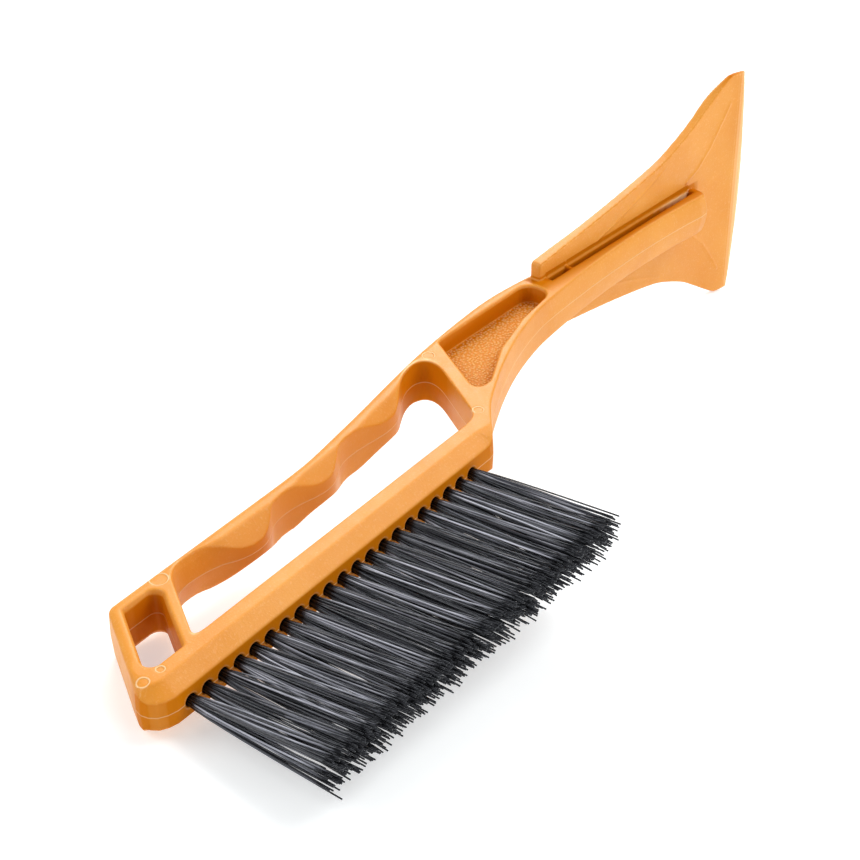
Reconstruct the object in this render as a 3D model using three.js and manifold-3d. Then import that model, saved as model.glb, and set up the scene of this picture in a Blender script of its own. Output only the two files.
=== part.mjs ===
// Windshield ice scraper with a snow brush. Millimetres, +Z up, lying at rest on a table.
//
// The tool is drawn in its own frame first, then laid down on its three resting corners.
// Tool frame: X runs along the brush row from the hand end to the blade, Y runs from the
// brush face towards the outer rail (the bristles point along -Y), Z = 0 is the plane the
// two halves of the mould meet in.  The moulding is mirrored about Z = 0.
import * as THREE from 'three';
import Module from 'manifold-3d';

const wasm = await Module();
wasm.setup();
const { Manifold, Mesh } = wasm;

// ---- driving dimensions ---------------------------------------------------------------
const TUFT_COUNT = 21;
const TUFT_PITCH = 6.0;
const TUFT_HOLE_RADIUS = 1.9;
const TUFT_HOLE_DEPTH = 6.6;
const TUFT_LENGTH = 48.5;        // brush face to the cut ends
const TUFT_TIP_X = 2.8;          // half width of a tuft at its tips, along the row
const TUFT_TIP_Z = 5.6;          // half height of a tuft at its tips
const FIT_GAP = 0.3;

const STAPLE_WIDTH = 3.0;
const STAPLE_DEPTH = 1.4;
const STAPLE_THICKNESS = 0.4;
const STAPLE_FLOOR = 0.9;        // bottom of the hole to the staple

const HALF_THICKNESS = 7.75;     // handle frame, mid plane to top face
const SIDE_DRAFT = 0.35;         // how far every side wall leans in from the parting line
const EDGE_ROUND = 0.8;          // rounding of the ordinary edges
const BRUSH_CHAMFER_RUN = 5.2;   // wide chamfer above and below the brush face
const BRUSH_CHAMFER_DROP = 3.25;

const FRAME_SKEW = 0.64;         // slope of the end and the webs: X gained per Y
const HAND_END_X = 6.3;          // outer corner of the hand end
const FRAME_DEPTH = 36.4;        // brush face to the outer rail
const BRUSH_RAIL = 9.0;
const WEB_HALF = 1.5;            // thin web left between the upper and lower pockets
const RIB_THICKNESS = 1.6;
const GUSSET_LEAN = 2.0;         // the gusset stands out furthest at the parting line

const FINGER_BUMPS = [54.5, 91, 124];
const FINGER_BUMP_WIDTH = 9.0;
const FINGER_BUMP_MID = 4.6;     // how far a bump stands out at the parting line
const FINGER_BUMP_RIM = 1.6;     // and at the top and bottom faces

const BLADE_HALF_WIDTH = 45.5;
const BLADE_X = 328.8;           // middle of the scraping edge
const BLADE_BOW = 2.2;           // the corners sit this far behind the middle of the edge
const BLADE_Y = 28.3;
const BLADE_EDGE_THICKNESS = 0.9;
const PLATE_THICKNESS = 3.3;
const PLATE_ROOT_X = 212.5;

const ORANGE = new THREE.MeshStandardMaterial({
  name: 'orange_plastic', color: 0xf08a24, roughness: 0.42, metalness: 0.0,
});
const BLACK = new THREE.MeshStandardMaterial({
  name: 'black_filament', color: 0x17171a, roughness: 0.5, metalness: 0.0,
});
const WIRE = new THREE.MeshStandardMaterial({
  name: 'staple_wire', color: 0xb9bbbd, roughness: 0.35, metalness: 1.0,
});

// ---- solids ---------------------------------------------------------------------------
function toSolid(positions, triangles) {
  const mesh = new Mesh({
    numProp: 3,
    vertProperties: new Float32Array(positions),
    triVerts: new Uint32Array(triangles),
  });
  mesh.merge();
  return new Manifold(mesh);
}

function toGeometry(solid) {
  const mesh = solid.getMesh();
  const geometry = new THREE.BufferGeometry();
  const positions = new Float32Array(mesh.numVert * 3);
  for (let i = 0; i < mesh.numVert; i += 1) {
    for (let axis = 0; axis < 3; axis += 1) {
      positions[3 * i + axis] = mesh.vertProperties[mesh.numProp * i + axis];
    }
  }
  geometry.setAttribute('position', new THREE.BufferAttribute(positions, 3));
  geometry.setIndex(new THREE.BufferAttribute(new Uint32Array(mesh.triVerts), 1));
  return geometry;
}

// A closed skin over rings of equal point count.  place(u, v, level) gives the 3-D point.
function skin(rings, place) {
  const count = rings[0].points.length;
  const positions = [];
  const triangles = [];
  for (const ring of rings) {
    for (const [u, v] of ring.points) {
      positions.push(...place(u, v, ring.level));
    }
  }
  for (let r = 0; r + 1 < rings.length; r += 1) {
    for (let i = 0; i < count; i += 1) {
      const a = r * count + i;
      const b = r * count + ((i + 1) % count);
      triangles.push(a, b, b + count);
      triangles.push(a, b + count, a + count);
    }
  }
  const last = (rings.length - 1) * count;
  const toVectors = (points) => points.map(([u, v]) => new THREE.Vector2(u, v));
  for (const [a, b, c] of THREE.ShapeUtils.triangulateShape(toVectors(rings[0].points), [])) {
    triangles.push(c, b, a);
  }
  const topFaces = THREE.ShapeUtils.triangulateShape(toVectors(rings[rings.length - 1].points), []);
  for (const [a, b, c] of topFaces) {
    triangles.push(last + a, last + b, last + c);
  }
  return toSolid(positions, triangles);
}

const alongZ = (u, v, level) => [u, v, level];
// rings drawn in X and Z, stacked along -Y
const alongMinusY = (u, v, level) => [u, -level, v];

// ---- outlines -------------------------------------------------------------------------
// Corners [x, y, radius] joined by straight lines and arcs, counter-clockwise.
function roundedPolygon(corners, steps = 6) {
  const points = [];
  const count = corners.length;
  for (let i = 0; i < count; i += 1) {
    const corner = new THREE.Vector2(corners[i][0], corners[i][1]);
    const radius = corners[i][2];
    const before = corners[(i + count - 1) % count];
    const after = corners[(i + 1) % count];
    const toBefore = new THREE.Vector2(before[0], before[1]).sub(corner).normalize();
    const toAfter = new THREE.Vector2(after[0], after[1]).sub(corner).normalize();
    if (radius <= 0) {
      points.push([corner.x, corner.y]);
      continue;
    }
    const half = Math.acos(THREE.MathUtils.clamp(toBefore.dot(toAfter), -1, 1)) / 2;
    const reach = radius / Math.tan(half);
    const start = corner.clone().addScaledVector(toBefore, reach);
    const end = corner.clone().addScaledVector(toAfter, reach);
    const centre = toBefore.clone().add(toAfter).normalize();
    centre.multiplyScalar(radius / Math.sin(half)).add(corner);
    const startAngle = Math.atan2(start.y - centre.y, start.x - centre.x);
    let sweep = Math.atan2(end.y - centre.y, end.x - centre.x) - startAngle;
    sweep = THREE.MathUtils.euclideanModulo(sweep + Math.PI, 2 * Math.PI) - Math.PI;
    for (let s = 0; s <= steps; s += 1) {
      const angle = startAngle + (sweep * s) / steps;
      points.push([centre.x + radius * Math.cos(angle), centre.y + radius * Math.sin(angle)]);
    }
  }
  return points;
}

function smoothCurve(controls, steps) {
  const curve = new THREE.SplineCurve(controls.map(([x, y]) => new THREE.Vector2(x, y)));
  return curve.getPoints(steps).map((p) => [p.x, p.y]);
}

// Moves every point of a counter-clockwise outline inwards by amount(index).
function inset(points, amount) {
  const count = points.length;
  return points.map(([x, y], i) => {
    const [bx, by] = points[(i + count - 1) % count];
    const [ax, ay] = points[(i + 1) % count];
    const length = Math.hypot(ax - bx, ay - by);
    return [x - ((ay - by) / length) * amount(i), y + ((ax - bx) / length) * amount(i)];
  });
}

function smoothStep(x, from, to) {
  return THREE.MathUtils.smoothstep(x, from, to);
}

// ---- the handle frame and neck --------------------------------------------------------
// Each point of the outline holds its place at the parting line, the share of brush chamfer
// it carries, how far the wall leans in by the top face, and (round the two brush corners)
// the exact way it moves in to reach the edge of the top face.
function outlinePoint(x, y, share, lean = SIDE_DRAFT, reach = null) {
  return { x, y, share, lean, reach };
}

function nearBrushCorner() {
  return [
    outlinePoint(-11.1, 8.9, 1, 0, [0.6, 0.3]),
    outlinePoint(-11.7, 6.6, 1, 0, [1.4, 1.7]),
    outlinePoint(-11.3, 4.4, 1, 0, [1.9, 2.9]),
    outlinePoint(-9.9, 2.3, 1, 0, [1.7, 4.2]),
    outlinePoint(-7.6, 0.9, 1, 0, [1.1, 4.8]),
    outlinePoint(-4.8, 0.15, 1, 0, [0.4, 5.1]),
  ];
}

function farBrushCorner() {
  return [
    outlinePoint(129.4, 0.0, 1, 0, [-0.2, 4.9]),
    outlinePoint(131.8, 0.6, 1, 0, [-0.8, 3.8]),
    outlinePoint(133.6, 1.9, 1, 0, [-0.9, 2.5]),
    outlinePoint(135.4, 3.3, 1, 0, [-0.8, 1.6]),
  ];
}

// concave wall on the brush side of the neck, running on into the gusset under the blade
function neckFront() {
  const line = smoothCurve([
    [138, 5.4], [145.8, 11.0], [156, 16.1], [166.7, 20.8], [179.5, 25.3], [192.4, 28.4],
    [204, 30.0], [222, 30.5], [240, 30.4], [264, 29.4], [284, 27.4], [295, 25.8],
  ], 36);
  return line.map(([x, y]) => {
    return outlinePoint(x, y, 0, SIDE_DRAFT + GUSSET_LEAN * smoothStep(x, 196, 246));
  });
}

function outerRail() {
  const line = smoothCurve([
    [72, FRAME_DEPTH], [87, 36.8], [101, 38.5], [118, 40.9], [137, 43.9], [156, 46.4],
    [179, 48.0], [195, 48.1], [209, 46.5], [222, 44.2], [240, 40.4],
  ], 26);
  return line.map(([x, y]) => outlinePoint(x, y, 0));
}

function handleOutline() {
  const brushFace = [];
  for (let x = 1; x <= 124; x += 12.3) {
    brushFace.push(outlinePoint(x, 0, 1, 0, [0, BRUSH_CHAMFER_RUN]));
  }
  const gussetEnd = [
    outlinePoint(299.6, 25.4, 0, 0, [-0.9, 3.0]),
    outlinePoint(301.2, 27.6, 0, 0, [-1.4, 2.2]),
    outlinePoint(301.8, 34.4, 0, 0, [-1.2, 0]),
    outlinePoint(270, 37.4, 0, 0, [0, 0]),
  ];
  const outerCorner = roundedPolygon([
    [-11.1, 8.9, 0], [60, FRAME_DEPTH, 0], [HAND_END_X, FRAME_DEPTH, 4.4],
  ], 6).slice(2).map(([x, y]) => outlinePoint(x, y, 0));
  return [
    ...nearBrushCorner(), ...brushFace, ...farBrushCorner(), ...neckFront(), ...gussetEnd,
    ...outerRail().reverse(), outlinePoint(40, FRAME_DEPTH, 0), ...outerCorner,
  ];
}

// One ring of the outline at a height above or below the parting line.
function handleRing(outline, level) {
  const rise = (drop) => THREE.MathUtils.clamp((level - (HALF_THICKNESS - drop)) / drop, 0, 1);
  const chamfer = rise(BRUSH_CHAMFER_DROP);
  const rounding = EDGE_ROUND * (1 - Math.sqrt(1 - rise(EDGE_ROUND) ** 2));
  const plain = inset(outline.map(({ x, y }) => [x, y]), (i) => {
    return rounding + (outline[i].lean * level) / HALF_THICKNESS;
  });
  return plain.map((point, i) => {
    const { x, y, share, reach } = outline[i];
    if (!reach) {
      return point;
    }
    const amount = share > 0 ? chamfer : (level / HALF_THICKNESS) ** 3;
    return [x + reach[0] * amount, y + reach[1] * amount];
  });
}

function handleSlab() {
  const outline = handleOutline();
  const levels = [0, 3, HALF_THICKNESS - BRUSH_CHAMFER_DROP, 6.0];
  for (const part of [0, 0.4, 0.8, 1]) {
    levels.push(HALF_THICKNESS - EDGE_ROUND * (1 - part));
  }
  const rings = [];
  for (const level of levels.slice(1).reverse()) {
    rings.push({ level: -level, points: handleRing(outline, level) });
  }
  for (const level of levels) {
    rings.push({ level, points: handleRing(outline, level) });
  }
  return skin(rings, alongZ);
}

// ---- the fan-shaped blade plate -------------------------------------------------------
function plateFront(x) {
  return 39.2 - 0.072 * (x - 220.7);
}

// seen along the edge: thickness tapers to the scraping edge
function plateSection() {
  const kink = 307;
  const front = [[PLATE_ROOT_X, plateFront(PLATE_ROOT_X)], [kink, plateFront(kink)]];
  const tip = [[BLADE_X + 2, BLADE_Y - 0.4], [BLADE_X + 2, BLADE_Y - 0.4 + BLADE_EDGE_THICKNESS]];
  const back = [
    [312, plateFront(312) + PLATE_THICKNESS - 0.3],
    [240, plateFront(240) + PLATE_THICKNESS],
    [PLATE_ROOT_X, plateFront(PLATE_ROOT_X) + 3.9],
  ];
  return [...front, ...tip, ...back];
}

// seen square to the plate: the two curved wings
function plateOutline() {
  const wing = smoothCurve([
    [226, 15.8], [240, 17.6], [260, 20.6], [280, 24.4], [290, 27.8], [300, 32.4],
    [307, 36.8], [314, 41.5], [318.5, 44.4],
  ], 22);
  const half = [[PLATE_ROOT_X, 13.4], [213.2, 14.1], ...wing];
  half.push([320.2, BLADE_HALF_WIDTH - 0.2], [322, BLADE_HALF_WIDTH]);
  const edge = [];
  for (let i = 0; i <= 12; i += 1) {
    const z = BLADE_HALF_WIDTH * (1 - i / 6);
    edge.push([BLADE_X - BLADE_BOW * (z / BLADE_HALF_WIDTH) ** 2, z * 0.995]);
  }
  const lower = half.slice().reverse().map(([x, z]) => [x, -z]);
  return [...half, ...edge, ...lower].reverse();
}

function bladePlate() {
  const section = skin([
    { level: -BLADE_HALF_WIDTH - 1, points: plateSection() },
    { level: BLADE_HALF_WIDTH + 1, points: plateSection() },
  ], alongZ);
  const outline = skin([
    { level: -60, points: plateOutline() },
    { level: 0, points: plateOutline() },
  ], alongMinusY);
  return section.intersect(outline);
}

// ---- openings -------------------------------------------------------------------------
function throughCutter(outlineAt, levels) {
  const rings = levels.map((level) => ({ level, points: outlineAt(Math.abs(level)) }));
  return skin(rings, alongZ);
}

function hangingHole() {
  const low = BRUSH_RAIL + 0.6;
  const high = FRAME_DEPTH - 3.7;
  const left = -6.3;
  const width = 14.7;
  const shift = FRAME_SKEW * (high - low) - 0.3;
  const outline = roundedPolygon([
    [left, low, 3.2], [left + width, low, 1.2],
    [left + width + shift, high, 3.2], [left + shift, high, 1.0],
  ]);
  const levels = [-9, -HALF_THICKNESS, -HALF_THICKNESS + 1, 0, HALF_THICKNESS - 1, HALF_THICKNESS, 9];
  return throughCutter((level) => {
    if (level >= HALF_THICKNESS) {
      return inset(outline, () => 0);
    }
    return inset(outline, () => (level > 1 ? 0.55 : 0.75));
  }, levels);
}

// Inner wall of the outer rail at one level: valleys for the fingers, bumps between them.
function fingerWall(x, level) {
  const valley = 33.9 + 10.4 * smoothStep(x, 86, 160) ** 1.1;
  const share = Math.min(level / HALF_THICKNESS, 1) ** 1.3;
  const height = THREE.MathUtils.lerp(FINGER_BUMP_MID, FINGER_BUMP_RIM, share);
  let bump = 0;
  for (const centre of FINGER_BUMPS) {
    bump += height * Math.exp(-(((x - centre) / FINGER_BUMP_WIDTH) ** 2));
  }
  return valley - bump;
}

function handOpening() {
  const outlineAt = (level) => {
    const wall = [];
    for (let x = 139; x >= 34; x -= 3) {
      wall.push([x, fingerWall(x, level)]);
    }
    const farCorner = roundedPolygon([
      [126, BRUSH_RAIL, 0], [135.2, BRUSH_RAIL, 5.0], [156.2, 43.6, 5.2], [140, 42.2, 0],
    ], 5).slice(1, -1);
    const nearCorner = roundedPolygon([
      [34, 33.2, 0], [27.0, 33.0, 3.0], [11.4, BRUSH_RAIL, 3.0], [20, BRUSH_RAIL, 0],
    ], 5).slice(1, -1);
    const outline = [...farCorner, ...wall, ...nearCorner];
    const draft = level < HALF_THICKNESS ? (SIDE_DRAFT * (HALF_THICKNESS - level)) / HALF_THICKNESS : 0;
    const rim = level > HALF_THICKNESS - 0.6 ? -0.25 : 0;
    return inset(outline, () => draft + rim);
  };
  const levels = [-9.5, -HALF_THICKNESS, -6.9, -4.5, -2.2, 0, 2.2, 4.5, 6.9, HALF_THICKNESS, 9.5];
  return throughCutter(outlineAt, levels);
}

// Recess in the neck, and the two narrow ones behind the gusset wall.  side is +1 or -1.
function recess(outline, side) {
  const floor = side * WEB_HALF;
  const mouth = side * (HALF_THICKNESS + 2);
  const rings = [
    { level: floor, points: inset(outline, () => 0.45) },
    { level: mouth, points: outline },
  ];
  if (side < 0) {
    rings.reverse();
  }
  return skin(rings, alongZ);
}

function neckPocketOutline() {
  return roundedPolygon([
    [147.0, 18.2, 2.6], [154.5, 18.2, 3.0], [171, 26.2, 14], [190, 31.1, 20], [208.6, 33.0, 3.0],
    [209.4, 43.0, 3.4], [196, 43.6, 20], [162.6, 45.0, 2.4],
  ], 4);
}

function slotOutline(fromX, toX) {
  const front = (x) => 35.2 - 0.0633 * (x - 216) - 0.9 * smoothStep(x, 222, 300);
  return [
    [fromX, front(fromX)], [toX, front(toX)], [toX, plateFront(toX) - 0.1],
    [fromX, plateFront(fromX) - 0.1],
  ];
}

function tuftHole(index) {
  const x = index * TUFT_PITCH;
  const steps = 14;
  const circle = [];
  for (let s = 0; s < steps; s += 1) {
    const angle = (2 * Math.PI * s) / steps;
    circle.push([x + TUFT_HOLE_RADIUS * Math.cos(angle), TUFT_HOLE_RADIUS * Math.sin(angle)]);
  }
  return skin([
    { level: -TUFT_HOLE_DEPTH, points: circle },
    { level: 1, points: circle },
  ], alongMinusY);
}

function body() {
  let solid = handleSlab().add(bladePlate());
  solid = solid.subtract(hangingHole());
  solid = solid.subtract(handOpening());
  const ribX = 226.5;
  for (const side of [1, -1]) {
    solid = solid.subtract(recess(neckPocketOutline(), side));
    solid = solid.subtract(recess(slotOutline(216, ribX - RIB_THICKNESS / 2), side));
    solid = solid.subtract(recess(slotOutline(ribX + RIB_THICKNESS / 2, 298), side));
  }
  for (let i = 0; i < TUFT_COUNT; i += 1) {
    solid = solid.subtract(tuftHole(i));
  }
  return solid;
}

// ---- bristles and their staples -------------------------------------------------------
function block(x, y, z, width, depth, height) {
  const w = width / 2;
  const h = height / 2;
  const points = [[x - w, z - h], [x + w, z - h], [x + w, z + h], [x - w, z + h]];
  return skin([
    { level: -(y + depth / 2), points },
    { level: -(y - depth / 2), points },
  ], alongMinusY);
}

function stapleY() {
  return TUFT_HOLE_DEPTH - STAPLE_FLOOR - STAPLE_DEPTH / 2;
}

function staple(index) {
  return block(index * TUFT_PITCH, stapleY(), 0, STAPLE_WIDTH, STAPLE_DEPTH, STAPLE_THICKNESS);
}

// Filaments of one tuft as one solid: round in its hole, spreading to the cut ends, with
// the fold at the bottom passing round the staple.
function tuft(index) {
  const root = TUFT_HOLE_RADIUS - FIT_GAP;
  const stations = [
    [-TUFT_HOLE_DEPTH + FIT_GAP, root, root], [0.4, root, root], [4, 1.95, 1.9],
    [14, 2.5, 2.7], [30, 2.7, 4.1], [TUFT_LENGTH, TUFT_TIP_X, TUFT_TIP_Z],
  ];
  const steps = 14;
  const x = index * TUFT_PITCH;
  const rings = stations.map(([level, halfX, halfZ]) => {
    const points = [];
    for (let s = 0; s < steps; s += 1) {
      const angle = (2 * Math.PI * s) / steps;
      points.push([x + halfX * Math.cos(angle), halfZ * Math.sin(angle)]);
    }
    return { level, points };
  });
  const window = block(x, stapleY(), 0, 2 * root + 2,
    STAPLE_DEPTH + 2 * FIT_GAP, STAPLE_THICKNESS + 2 * FIT_GAP);
  return skin(rings, alongMinusY).subtract(window);
}

// ---- laying the tool down -------------------------------------------------------------
// It rests on both lower corners of its hand end and on the lower corner of the blade.
function restingTurn() {
  const nearCorner = new THREE.Vector3(-9.6, 4.6, -HALF_THICKNESS);
  const outerCorner = new THREE.Vector3(5.4, 32.6, -HALF_THICKNESS);
  const bladeCorner = new THREE.Vector3(322, 29.6, -BLADE_HALF_WIDTH);
  const up = outerCorner.clone().sub(nearCorner);
  up.cross(bladeCorner.clone().sub(nearCorner)).normalize();
  if (up.z < 0) {
    up.negate();
  }
  const along = new THREE.Vector3(1, 0, 0);
  along.addScaledVector(up, -along.dot(up)).normalize();
  const across = up.clone().cross(along);
  return new THREE.Matrix4().makeBasis(along, across, up).transpose();
}

function named(name, solid, material) {
  const mesh = new THREE.Mesh(toGeometry(solid), material);
  mesh.name = name;
  return mesh;
}

function number(index) {
  return String(index + 1).padStart(2, '0');
}

const tool = new THREE.Group();
tool.name = 'ice_scraper';
tool.add(named('body', body(), ORANGE));
for (let i = 0; i < TUFT_COUNT; i += 1) {
  tool.add(named(`tuft_${number(i)}`, tuft(i), BLACK));
  tool.add(named(`staple_${number(i)}`, staple(i), WIRE));
}

const turn = restingTurn();
const extent = new THREE.Box3();
for (const mesh of tool.children) {
  mesh.geometry.applyMatrix4(turn);
  mesh.geometry.computeBoundingBox();
  extent.union(mesh.geometry.boundingBox);
}
const middle = extent.getCenter(new THREE.Vector3());
for (const mesh of tool.children) {
  mesh.geometry.translate(-middle.x, -middle.y, -extent.min.z);
}

export default tool;
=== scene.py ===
import math

import bpy
import numpy as np
from mathutils import Matrix, Vector


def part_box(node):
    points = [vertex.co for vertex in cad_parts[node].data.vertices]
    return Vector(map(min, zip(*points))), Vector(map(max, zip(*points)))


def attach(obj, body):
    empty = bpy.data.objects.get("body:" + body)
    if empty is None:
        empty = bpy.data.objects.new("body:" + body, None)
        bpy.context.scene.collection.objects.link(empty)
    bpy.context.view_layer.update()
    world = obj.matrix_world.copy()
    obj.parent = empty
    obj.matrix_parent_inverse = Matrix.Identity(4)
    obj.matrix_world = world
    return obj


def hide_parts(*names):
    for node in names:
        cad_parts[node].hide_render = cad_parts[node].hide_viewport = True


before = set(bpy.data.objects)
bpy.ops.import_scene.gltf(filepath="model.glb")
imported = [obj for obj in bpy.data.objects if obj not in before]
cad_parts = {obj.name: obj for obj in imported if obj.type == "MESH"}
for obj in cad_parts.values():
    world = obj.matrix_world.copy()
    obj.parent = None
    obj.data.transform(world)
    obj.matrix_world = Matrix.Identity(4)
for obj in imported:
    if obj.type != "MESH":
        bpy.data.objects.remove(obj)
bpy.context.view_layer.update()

MM = 0.001
TUFT_COUNT = 21
TUFT_PITCH = 6.0
TUFT_HOLE_RADIUS = 1.9
STAPLE_Y = 5.0                 # middle of a staple, into the body from the brush face
HALF_THICKNESS = 7.75
# The three corners that the tool lies on: two of the hand end, one of the blade.
NEAR_CORNER = (-9.6, 4.6, -HALF_THICKNESS)
OUTER_CORNER = (5.4, 32.6, -HALF_THICKNESS)
BLADE_CORNER = (322.0, 29.6, -45.5)
# x, y and radius of the ejector pins' witness marks.
EJECTOR_PINS = ((23.4, 33.6, 2.6), (-8.0, 8.4, 1.7), (-1.9, 8.2, 1.2),
                (154.1, 42.3, 2.0), (139.0, 11.6, 1.7))


# ---- the tool's own frame --------------------------------------------------------------
def resting_axes():
    """The row frame's X, Y and Z, one a row, in the axes of the tool at rest."""
    near, outer, blade = np.array([NEAR_CORNER, OUTER_CORNER, BLADE_CORNER])
    up = np.cross(outer - near, blade - near)
    up /= np.linalg.norm(up) * np.sign(up[2])
    along = np.array([1.0, 0.0, 0.0]) - up * up[0]
    along /= np.linalg.norm(along)
    return np.stack([along, np.cross(up, along), up])


AXES = resting_axes()
staple_low, staple_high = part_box("staple_01")
ORIGIN = np.array((staple_low + staple_high) / 2) / MM - AXES @ np.array([0.0, STAPLE_Y, 0.0])


def tool_to_row(points):
    """Points of the tool, in millimetres, to the row frame, in metres."""
    return ((np.asarray(points, float) @ AXES.T) + ORIGIN) * MM


def new_piece(name, mesh, material):
    """Put a mesh in the scene, with its material."""
    mesh.materials.append(material)
    piece = bpy.data.objects.new(name, mesh)
    bpy.context.scene.collection.objects.link(piece)
    return piece


def store(mesh, name, values):
    """Keep one value for each point, for the materials."""
    layer = mesh.attributes.new(name, "FLOAT", "POINT")
    layer.data.foreach_set("value", np.asarray(values, np.float32))


# ---- materials -------------------------------------------------------------------------
class Nodes:
    """A small builder for one material's node tree, with the shader at .shader."""

    def __init__(self, name):
        self.material = bpy.data.materials.new(name)
        self.material.use_nodes = True
        self.tree = self.material.node_tree
        self.shader = next(n for n in self.tree.nodes if n.type == "BSDF_PRINCIPLED")

    def add(self, kind, links=None, **values):
        """A new node: links go to its sockets, values to its settings or sockets."""
        node = self.tree.nodes.new("ShaderNode" + kind)
        for key, value in values.items():
            if hasattr(node, key):
                setattr(node, key, value)
            else:
                node.inputs[key.replace("_", " ")].default_value = value
        for key, source in (links or {}).items():
            self.tree.links.new(source, node.inputs[key])
        return node

    def link(self, source, socket):
        self.tree.links.new(source, self.shader.inputs[socket])

    def uniform(self, **values):
        """Plain values for the shader's own sockets."""
        for key, value in values.items():
            self.shader.inputs[key.replace("_", " ")].default_value = value

    def ramp(self, source, stops):
        node = self.add("ValToRGB", {"Fac": source})
        elements = node.color_ramp.elements
        while len(elements) < len(stops):
            elements.new(0.5)
        for element, (place, colour) in zip(elements, stops):
            element.position = place
            element.color = (*colour, 1.0)
        return node.outputs["Color"]


def grey(value):
    return (value, value, value)


def tool_coordinates(nodes):
    """Coordinates in the tool's own axes, in metres, for detail that follows the moulding."""
    turn = Matrix(AXES.T.tolist()).to_euler()
    shift = -AXES.T @ ORIGIN * MM
    where = nodes.add("TexCoord").outputs["Object"]
    mapping = nodes.add("Mapping", {"Vector": where}, Rotation=turn, Location=tuple(shift))
    return mapping.outputs["Vector"]


def attribute(nodes, name):
    """A value from 0 to 1 that store() keeps on the mesh's points."""
    return nodes.add("Attribute", attribute_name=name).outputs["Fac"]


def band(nodes, value, low, high, fade):
    """1 where value lies between low and high, in metres, fading to 0 over fade."""
    up = nodes.add("MapRange", {"Value": value}, From_Min=low - fade, From_Max=low)
    down = nodes.add("MapRange", {"Value": value}, From_Min=high, From_Max=high + fade,
                     To_Min=1.0, To_Max=0.0)
    return times(nodes, up.outputs["Result"], down.outputs["Result"])


def times(nodes, a, b):
    """One output times another."""
    return nodes.add("Math", {0: a, 1: b}, operation="MULTIPLY").outputs["Value"]


def scaled(nodes, a, factor):
    """One output times a plain number."""
    node = nodes.add("Math", {0: a}, operation="MULTIPLY")
    node.inputs[1].default_value = factor
    return node.outputs["Value"]


def total(nodes, parts):
    """Weighted sum of (output, weight) parts, kept between 0 and 1."""
    running = scaled(nodes, *parts[0])
    for output, weight in parts[1:]:
        running = nodes.add("Math", {0: running, 1: scaled(nodes, output, weight)},
                            operation="ADD", use_clamp=True).outputs["Value"]
    return running


def painted(nodes, under, paint, share):
    """One colour mixed into the colour under it, by a share from 0 to 1."""
    mixed = nodes.add("MixRGB", {"Fac": share, "Color1": under})
    mixed.inputs["Color2"].default_value = (*paint, 1.0)
    return mixed.outputs["Color"]


ORANGE_DEEP = (0.72, 0.262, 0.022)
ORANGE_PALE = (0.78, 0.318, 0.044)
ORANGE_SPECKS_AND_HIGHLIGHT = (0.98, 0.66, 0.34)      # pale grain specks and worn edges, and painted highlight on edges, the parting line, pin rings and pebble tops
ORANGE_SHADE = (0.58, 0.165, 0.001)    # painted shade in inside corners, holes and recesses, and between the pocket pebbles
# Widths and depths of surface detail, in metres.
RING_HALF_WIDTH = 0.0001
RING_FADE = 0.0002
UPPER_FACE = (0.0068, 0.0090)          # heights over the parting plane
SEAM_HALF_WIDTH = 0.00012
SEAM_REACH = (-0.02, 0.299)            # along the tool, ending on the back of the blade
WAVE_DEPTH = 0.0006
GRAIN_DEPTH = 0.00012
RELIEF_DEPTH = 0.00022


def pin_rings(nodes, axes):
    """Thin raised rings round the ejector marks, on the upper face only."""
    flat = nodes.add("CombineXYZ", {"X": axes.outputs["X"], "Y": axes.outputs["Y"]})
    rings = []
    for x, y, radius in EJECTOR_PINS:
        away = nodes.add("VectorMath", {0: flat.outputs["Vector"]}, operation="DISTANCE")
        away.inputs[1].default_value = (x * MM, y * MM, 0)
        edge = radius * MM
        ring = band(nodes, away.outputs["Value"], edge - RING_HALF_WIDTH, edge + RING_HALF_WIDTH,
                    RING_FADE)
        rings.append((ring, 1))
    upper = band(nodes, axes.outputs["Z"], *UPPER_FACE, RING_FADE)
    return times(nodes, total(nodes, rings), upper)


def parting_line(nodes, axes):
    """The line that the two halves of the mould leave round the side walls."""
    height = nodes.add("Math", {0: axes.outputs["Z"]}, operation="ABSOLUTE").outputs["Value"]
    line = band(nodes, height, -MM, SEAM_HALF_WIDTH, SEAM_HALF_WIDTH)
    return times(nodes, line, band(nodes, axes.outputs["X"], *SEAM_REACH, MM))


def pebbles(nodes, where, floors):
    """Small raised pebbles on the floors of the neck pockets: a mask for their relief, for painted
    highlight on their tops and, through the gaps, painted shade between them.
    """
    cells = nodes.add("TexVoronoi", {"Vector": where}, voronoi_dimensions="2D", Scale=900.0,
                      Randomness=0.8)
    tops = nodes.add("MapRange", {"Value": cells.outputs["Distance"]}, From_Min=0.1,
                     From_Max=0.5, To_Min=1.0, To_Max=0.0)
    return times(nodes, tops.outputs["Result"], floors)


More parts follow.
